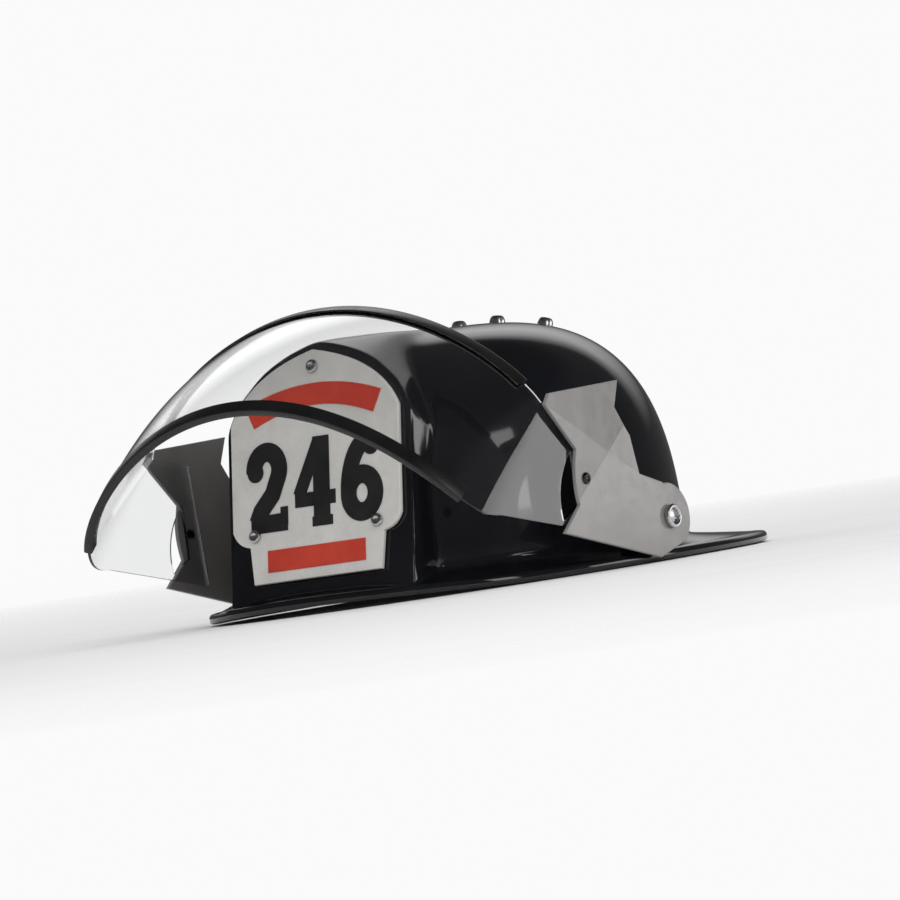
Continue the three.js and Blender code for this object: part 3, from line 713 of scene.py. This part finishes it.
def solid_object(mesh):
    """A mesh as an outward-facing solid in the scene, to be joined to others or cut from them."""
    work = bmesh.new()
    work.from_mesh(mesh)
    bmesh.ops.recalc_face_normals(work, faces=work.faces)
    work.to_mesh(mesh)
    work.free()
    solid = bpy.data.objects.new(mesh.name, mesh)
    scene.collection.objects.link(solid)
    return solid


def carve(piece, cutter):
    """Cuts the cutter out of the piece for good, and removes the cutter."""
    cut = piece.modifiers.new("cut", "BOOLEAN")
    cut.operation = "DIFFERENCE"
    cut.solver = "EXACT"
    cut.object = cutter
    bpy.context.view_layer.update()
    made = piece.evaluated_get(bpy.context.evaluated_depsgraph_get())
    mesh = bpy.data.meshes.new_from_object(made)
    piece.modifiers.clear()
    piece.data = mesh
    bpy.data.objects.remove(cutter)


def build_trim(name, edge, beside, trim_reach, node):
    """A rounded channel along one edge of the arch, with the sheet's edge in its slot.

    beside is how far down the sheet a point just inside the edge lies."""
    half, slot, lip, depth = TRIM["thickness"] / 2, TRIM["slot"] / 2, TRIM["lip"], TRIM["depth"]
    soft = 0.6
    profile = [(-half, -depth), (-half, lip - soft), (-half + 0.2, lip - 0.2), (-half + soft, lip)]
    profile += [(-x, y) for x, y in reversed(profile)]
    profile += [(slot, -depth), (slot, GAP), (-slot, GAP), (-slot, -depth)]
    sections = []
    steps = 140
    for i in range(steps + 1):
        angle = math.radians(lerp(-trim_reach, trim_reach, i / steps))
        point = edge_point(edge, angle)
        along = (edge_point(edge, angle + 0.01) - edge_point(edge, angle - 0.01)).normalized()
        outwards = point - visor_point(0.5 + ARCH_SHARE / 2 * angle / (math.pi / 2), beside)
        outwards = (outwards - along * outwards.dot(along)).normalized()
        face = along.cross(outwards)
        sections.append([point + face * n + outwards * w for n, w in profile])
    points, faces = loft(sections)
    show(name, points, faces, "trim", "visor", "satin_plastic", [node], 40)


def arm_outlines():
    """Round about the hinge, with a wing up to the top trim and a hollowed front edge."""
    outline = [(9.5, -14.8), (71.5, 0.2), (59, 10)]
    outline += quadratic((59, 10), (61.5, 20), (57, 31), 14)
    outline += [(74.5, 49.5), (70.5, 53.5), (21, 54.5), (26, 44.5), (18.5, 33), (16.5, 18), (2, 13.5)]
    for i in range(25):
        angle = math.radians(lerp(85, 229, i / 24))
        outline.append((ARM["round"] * math.cos(angle), ARM["round"] * math.sin(angle)))
    return [outline, circle((0, 0), 3.1), circle(ARM["rivet"], 1.75, 20)]


# Folds across each arm: a point on the fold, the direction away from it, and the slope beyond it.
ARM_FOLDS = (((35, 28), (0.564, 0.826), 0.035), ((35, 28), (-0.478, 0.878), -0.04))


def fold_height(x, y):
    """How far the arm's face stands out at a point of its plane."""
    height = 0
    for (px, py), (dx, dy), slope in ARM_FOLDS:
        height += slope * max(0.0, (x - px) * dx + (y - py) * dy)
    return height


def build_arm(side, word):
    axes = Matrix(((0, 0, side), (-1, 0, 0), (0, 1, 0))).to_4x4()
    own = flat_plate(arm_outlines(), ARM["thickness"], 0.4, Matrix())
    work = bmesh.new()
    work.from_mesh(own)
    for (px, py), (dx, dy), _ in ARM_FOLDS:
        parts = work.verts[:] + work.edges[:] + work.faces[:]
        bmesh.ops.bisect_plane(work, geom=parts, plane_co=(px, py, 0), plane_no=(dx, dy, 0))
    for vert in work.verts:
        vert.co.z += fold_height(vert.co.x, vert.co.y)
    work.to_mesh(own)
    work.free()
    start = Matrix.Translation(HINGE + Vector((side * ARM["inner"], 0, 0)))
    own.transform(Matrix.Scale(MM, 4) @ start @ axes)
    show_mesh(f"side_arm_{word}", own, "arm", "visor", [f"visor_arm_{word}"], 1)


# ---------- rivets ----------

def domed_head(radius, height, seat=GAP, shank=1.4, tail=4.0):
    """Profile of a rivet: shank, flat seat, rounded rim and a shallow dimple on top."""
    profile = [(0, -tail), (shank, -tail), (shank, seat), (radius * 0.96, seat), (radius, seat + 0.15)]
    for i in range(1, 9):
        turn = math.pi / 2 * i / 8
        rim = radius * (0.55 + 0.45 * math.cos(turn))
        profile.append((rim, seat + 0.15 + (height - 0.15) * math.sin(turn)))
    dimple = ((0.42, 0.82), (0.2, 0.62), (0, 0.6))
    return profile + [(radius * out, seat + height * up) for out, up in dimple]


def ring_head(seat):
    """Profile of the pivot's head: a raised rounded ring with a sunk, slightly domed middle."""
    profile = [(0, seat - 3), (2.7, seat - 3), (2.7, seat + GAP), (4.5, seat + GAP)]
    for i in range(11):
        turn = math.pi * (i / 10) - 0.15
        profile.append((3.75 + 0.95 * math.cos(turn), seat + GAP + 1.05 + 0.95 * math.sin(turn)))
    profile += [(2.6, seat + 0.9), (1.6, seat + 1.15), (0.8, seat + 1.3), (0, seat + 1.35)]
    return profile


CROWN_RIVETS = ((-26, 34), (-9, 27), (9, 27), (26, 34))


def crown_seat(x, y):
    """The point of the dome above a plan position, and the direction out of its face there."""
    start = np.array([[x, y, 60.0]])
    up = np.array([[0, 0, 1.0]])
    point = start + up * reach(start, up, 0)[0]
    slope = []
    for step in 0.5 * np.eye(3):
        slope.append(float((shell_distance(point + step, 0) - shell_distance(point - step, 0))[0]))
    return Vector(point[0]), Vector(slope).normalized()


def build_rivets():
    for index, (x, y) in enumerate(SHIELD_RIVETS):
        parts = turned(domed_head(2.6, 1.2), on_shield(x, y, 0), SHIELD_OUT)
        name = f"shield_rivet_{index + 1}"
        show(name + "_head", *parts, "nickel", "helmet", "rivet_metal", [name])
    for index, (x, y) in enumerate(CROWN_RIVETS):
        point, normal = crown_seat(x, y)
        name = f"crown_rivet_{index + 1}"
        parts = turned(domed_head(3.1, 3.4, 0.1), point, normal)
        show(name + "_head", *parts, "nickel", "helmet", "rivet_metal", [name])
    for side, word in ((1, "left"), (-1, "right")):
        out = Vector((side, 0, 0))
        ahead, up = ARM["rivet"]
        seat = ARM["inner"] + ARM["thickness"]
        lifted = seat + fold_height(ahead, up)
        origin = Vector((side * lifted, -ahead, HINGE.z + up))
        parts = turned(domed_head(2.3, 1.2, 0.05, tail=3.2), origin, out)
        name = f"arm_rivet_{word}"
        show(name + "_head", *parts, "dark_metal", "visor", "satin_plastic", [name])
        parts = turned(ring_head(seat), HINGE, out, 72)
        body = frame["nodes"][f"pivot_rivet_{word}"]["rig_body"]
        show(f"pivot_ring_{word}", *parts, "nickel", body, "rivet_metal", [f"pivot_rivet_{word}"])


# ---------- inside ----------

def band_point(radius, angle, z):
    y = HEADBAND["y"] + math.copysign(HEADBAND["half_straight"], math.sin(angle))
    return Vector((radius * math.cos(angle), y + radius * math.sin(angle), z))


def build_pad():
    """The brow pad: a crowned, edge-stitched strip curved along the front of the headband."""
    outer = HEADBAND["radius"] - GAP
    low, high = HEADBAND["z"] + 1, HEADBAND["z"] + HEADBAND["height"] - 1
    middle, half = (low + high) / 2, (high - low) / 2
    sections = []
    steps = 90
    for i in range(steps + 1):
        along = lerp(-1, 1, i / steps)
        angle = math.radians(270 + PAD["half_angle"] * along)
        end = (1 - abs(along) ** 14) ** 0.5 if abs(along) < 1 else 0.0
        section = []
        for k in range(40):
            turn = 2 * math.pi * k / 40
            x = math.copysign(abs(math.cos(turn)) ** 0.35, math.cos(turn))
            crown = math.copysign(abs(math.sin(turn)) ** 0.8, math.sin(turn))
            seam = 1 - 0.35 * math.exp(-((abs(x) - 0.82) / 0.05) ** 2)
            depth = PAD["thickness"] / 2 * (0.25 + 0.75 * end)
            radius = outer - PAD["thickness"] / 2 - crown * depth * (seam if crown > 0 else 1)
            section.append(band_point(radius, angle, middle + half * x * (0.9 + 0.1 * end)))
        sections.append(section)
    points, faces = loft(sections)
    pad = show("brow_pad_cushion", points, faces, "foam", "helmet", "brow_foam", ["brow_pad"], 60)


def build_strap(name, direction, reach_out, top, node):
    """A crown strap: flat webbing with thin edges that follows the dome from side to side."""
    direction = Vector(direction)
    across = Vector((-direction.y, direction.x, 0))
    half, thick = STRAP["width"] / 2, STRAP["thickness"] / 2
    profile = [(-1, 0), (-0.97, 0.7), (-0.9, 1), (-0.3, 0.9), (0.3, 0.9), (0.9, 1), (0.97, 0.7), (1, 0)]
    profile += [(-x, -y) for x, y in profile[1:-1]]

    def middle(share):
        angle = math.pi * share
        level = math.copysign(abs(math.cos(angle)) ** (2 / STRAP["side_power"]), math.cos(angle))
        rise = max(0.0, math.sin(angle)) ** (2 / STRAP["crown_power"])
        base = Vector((0, HEADBAND["y"], STRAP["foot"] + (top - thick - STRAP["foot"]) * rise))
        return base + direction * level * (reach_out - thick)

    sections = []
    steps = 96
    for i in range(steps + 1):
        here = middle(i / steps)
        along = (middle(min(1, (i + 0.5) / steps)) - middle(max(0, (i - 0.5) / steps))).normalized()
        out = along.cross(across).normalized()
        sections.append([here + across * x * half + out * y * thick for x, y in profile])
    points, faces = loft(sections)
    show(name, points, faces, "webbing", "helmet", "strap_webbing", [node], 70)


def build_inside():
    build_pad()
    outside = HEADBAND["radius"] + HEADBAND["thickness"] + 2 * GAP + STRAP["thickness"]
    build_strap("strap_lengthwise", (0, 1, 0), outside + HEADBAND["half_straight"], STRAP["top"],
                "crown_strap_lengthwise")
    build_strap("strap_crosswise", (1, 0, 0), outside, STRAP["top"] - STRAP["thickness"] - 1.3,
                "crown_strap_crosswise")


def finish_cad_nodes():
    """CAD nodes that stay: moulded or metal materials, and slightly softened edges."""
    for name, node in frame["nodes"].items():
        if node.hide_render:
            continue
        look = "nickel" if "washer" in name else "fitting"
        node.data.materials.clear()
        node.data.materials.append(LOOK[look])
        soften = node.modifiers.new("soft_edges", "BEVEL")
        soften.width = 0.25 * MM
        soften.segments = 2
        soften.limit_method = "ANGLE"
        soften.angle_limit = math.radians(40)


# ---------- stage ----------

AZIMUTH = math.radians(35.1)
ELEVATION = math.radians(0.4)
ROLL = math.radians(8.45)
CAMERA_DISTANCE = 6.0
LENS = 624
TARGET = Vector((0.0, -0.004, 0.053))
WORLD = dict(front=0.1, back=1.2, ceiling=0.05, fill=0.75, seen=0.96)
BACKDROP = dict(direction=(-0.57, 0.82, 0), side=(0.72, 0.84), foot=(0.12, 0.38), top=(0.62, 0.72))


def build_camera():
    toward = Vector((math.sin(AZIMUTH) * math.cos(ELEVATION), -math.cos(AZIMUTH) * math.cos(ELEVATION),
                     math.sin(ELEVATION)))
    level = Vector((math.cos(AZIMUTH), math.sin(AZIMUTH), 0))
    upright = toward.cross(level)
    right = level * math.cos(ROLL) - upright * math.sin(ROLL)
    up = upright * math.cos(ROLL) + level * math.sin(ROLL)
    data = bpy.data.cameras.new("camera")
    data.lens = LENS
    data.clip_start = 0.05
    camera = bpy.data.objects.new("camera", data)
    scene.collection.objects.link(camera)
    pose = Matrix((right, up, toward)).transposed().to_4x4()
    camera.matrix_world = Matrix.Translation(TARGET + toward * CAMERA_DISTANCE) @ pose
    scene.camera = camera


def softbox(name, location, width, height, power, glossy=True):
    data = bpy.data.lights.new(name, "AREA")
    data.shape = "RECTANGLE"
    data.size = width
    data.size_y = height
    data.energy = power
    lamp = bpy.data.objects.new(name, data)
    lamp.location = location
    lamp.rotation_euler = (Vector((0, 0, 0.05)) - Vector(location)).to_track_quat("-Z", "Y").to_euler()
    lamp.visible_glossy = glossy
    lamp.visible_camera = False
    lamp.visible_transmission = False
    scene.collection.objects.link(lamp)
    return lamp


def build_world():
    """Pale all round, to look at and as fill light. Polished faces mirror something else: a pale
    backdrop behind the helmet, up to a height, with dim walls elsewhere and a dim ceiling."""
    world = bpy.data.worlds.new("studio")
    world.use_nodes = True
    tree = world.node_tree
    tree.nodes.clear()

    def node(kind, links=(), **values):
        made = tree.nodes.new(kind)
        for key, value in values.items():
            if key == "operation":
                made.operation = value
            else:
                made.inputs[key.replace("_", " ")].default_value = value
        for socket, output in links:
            tree.links.new(output, made.inputs[socket])
        return made

    def fade(value, span):
        return node("ShaderNodeMapRange", [("Value", value)], From_Min=span[0], From_Max=span[1])

    way = node("ShaderNodeTexCoord").outputs["Generated"]
    behind = node("ShaderNodeVectorMath", [(0, way)], operation="DOT_PRODUCT")
    behind.inputs[1].default_value = BACKDROP["direction"]
    wall = fade(behind.outputs["Value"], BACKDROP["side"])
    wall.inputs["To Min"].default_value = WORLD["front"]
    wall.inputs["To Max"].default_value = WORLD["back"]
    height = node("ShaderNodeSeparateXYZ", [(0, way)]).outputs["Z"]
    low = fade(height, BACKDROP["foot"])
    lower = node("ShaderNodeMix", [("Factor", low.outputs["Result"]), ("B", wall.outputs["Result"])])
    lower.inputs["A"].default_value = WORLD["front"]
    above = fade(height, BACKDROP["top"])
    level = node("ShaderNodeMix", [("Factor", above.outputs["Result"]), ("A", lower.outputs["Result"])])
    level.inputs["B"].default_value = WORLD["ceiling"]
    path = node("ShaderNodeLightPath")
    mirrored = node("ShaderNodeMix", [("Factor", path.outputs["Diffuse Depth"]),
                    ("A", level.outputs["Result"])])
    mirrored.inputs["B"].default_value = WORLD["fill"]
    lit = node("ShaderNodeBackground", [("Strength", mirrored.outputs["Result"])])
    seen = node("ShaderNodeBackground", Strength=WORLD["seen"])
    either = node("ShaderNodeMath", [(0, path.outputs["Is Camera Ray"]),
                  (1, path.outputs["Is Transmission Ray"])], operation="MAXIMUM")
    bounces = node("ShaderNodeMath", [(0, path.outputs["Glossy Depth"]),
                   (1, path.outputs["Diffuse Depth"])], operation="ADD")
    direct = node("ShaderNodeMath", [(0, either.outputs[0]), (1, bounces.outputs[0])], operation="SUBTRACT")
    choose = node("ShaderNodeMixShader",
                  [(0, direct.outputs[0]), (1, lit.outputs[0]), (2, seen.outputs[0])])
    for background in (lit, seen):
        background.inputs["Color"].default_value = (1, 1, 1, 1)
    node("ShaderNodeOutputWorld", [("Surface", choose.outputs[0])])
    scene.world = world


def build_floor():
    """A pale disc that fades out well away from the helmet, and is clear from underneath."""
    rings, spokes, radius = 24, 96, 1.6
    points = [Vector((0, 0, 0))]
    for i in range(1, rings + 1):
        for j in range(spokes):
            angle = 2 * math.pi * j / spokes
            points.append(Vector((math.cos(angle), math.sin(angle), 0)) * radius * i / rings)
    faces = [(0, 1 + j, 1 + (j + 1) % spokes) for j in range(spokes)]
    for i in range(rings - 1):
        for j in range(spokes):
            a, b = 1 + i * spokes + j, 1 + i * spokes + (j + 1) % spokes
            faces.append((a, a + spokes, b + spokes, b))
    mesh = bpy.data.meshes.new("floor")
    mesh.from_pydata(points, [], faces)
    material = principled("pale_floor", Roughness=0.7)
    cloud = noise(material, 12)
    drive(material, "Base Color", ramp(material, cloud, (0.80, 0.80, 0.805), (0.83, 0.83, 0.835)))
    tree = material.node_tree
    radial = add_node(material, "ShaderNodeVectorMath", {0: place(material)}, operation="LENGTH")
    fade = add_node(material, "ShaderNodeMapRange", {"Value": radial.outputs["Value"], "From Min": 0.35,
                    "From Max": 1.5})
    clear = add_node(material, "ShaderNodeBsdfTransparent")
    under = add_node(material, "ShaderNodeNewGeometry").outputs["Backfacing"]
    gone = add_node(material, "ShaderNodeMath", {0: fade.outputs["Result"], 1: under}, operation="MAXIMUM")
    inputs = {0: gone.outputs[0], 1: tree.nodes["Principled BSDF"].outputs[0], 2: clear.outputs[0]}
    mixed = add_node(material, "ShaderNodeMixShader", inputs)
    tree.links.new(mixed.outputs[0], tree.nodes["Material Output"].inputs["Surface"])
    mesh.materials.append(material)
    floor = bpy.data.objects.new("floor", mesh)
    floor.location.z = -0.0005
    floor.visible_diffuse = False  # so that pale light from all round reaches inside the helmet
    scene.collection.objects.link(floor)


build_camera()
build_world()
build_floor()
softbox("key", (0.8, -1.6, 1.0), 1.2, 0.9, 6, glossy=False)
softbox("overhead", (-0.2, 0.35, 1.5), 1.0, 0.7, 5, glossy=False)
softbox("side", (1.57, 1.31, 0.22), 1.2, 0.6, 7)
softbox("fill", (1.6, -0.5, 0.6), 0.4, 0.9, 4)
scene.view_settings.view_transform = "Standard"

build_shell()
build_shield()
build_number()
build_sheet()
build_trim("front_trim_channel", FRONT_EDGE, 0.9, TRIM["front_reach"], "visor_front_trim")
build_trim("top_trim_channel", TOP_EDGE, 0.1, TRIM["top_reach"], "visor_top_trim")
build_arm(1, "left")
build_arm(-1, "right")
build_rivets()
build_inside()
finish_cad_nodes()
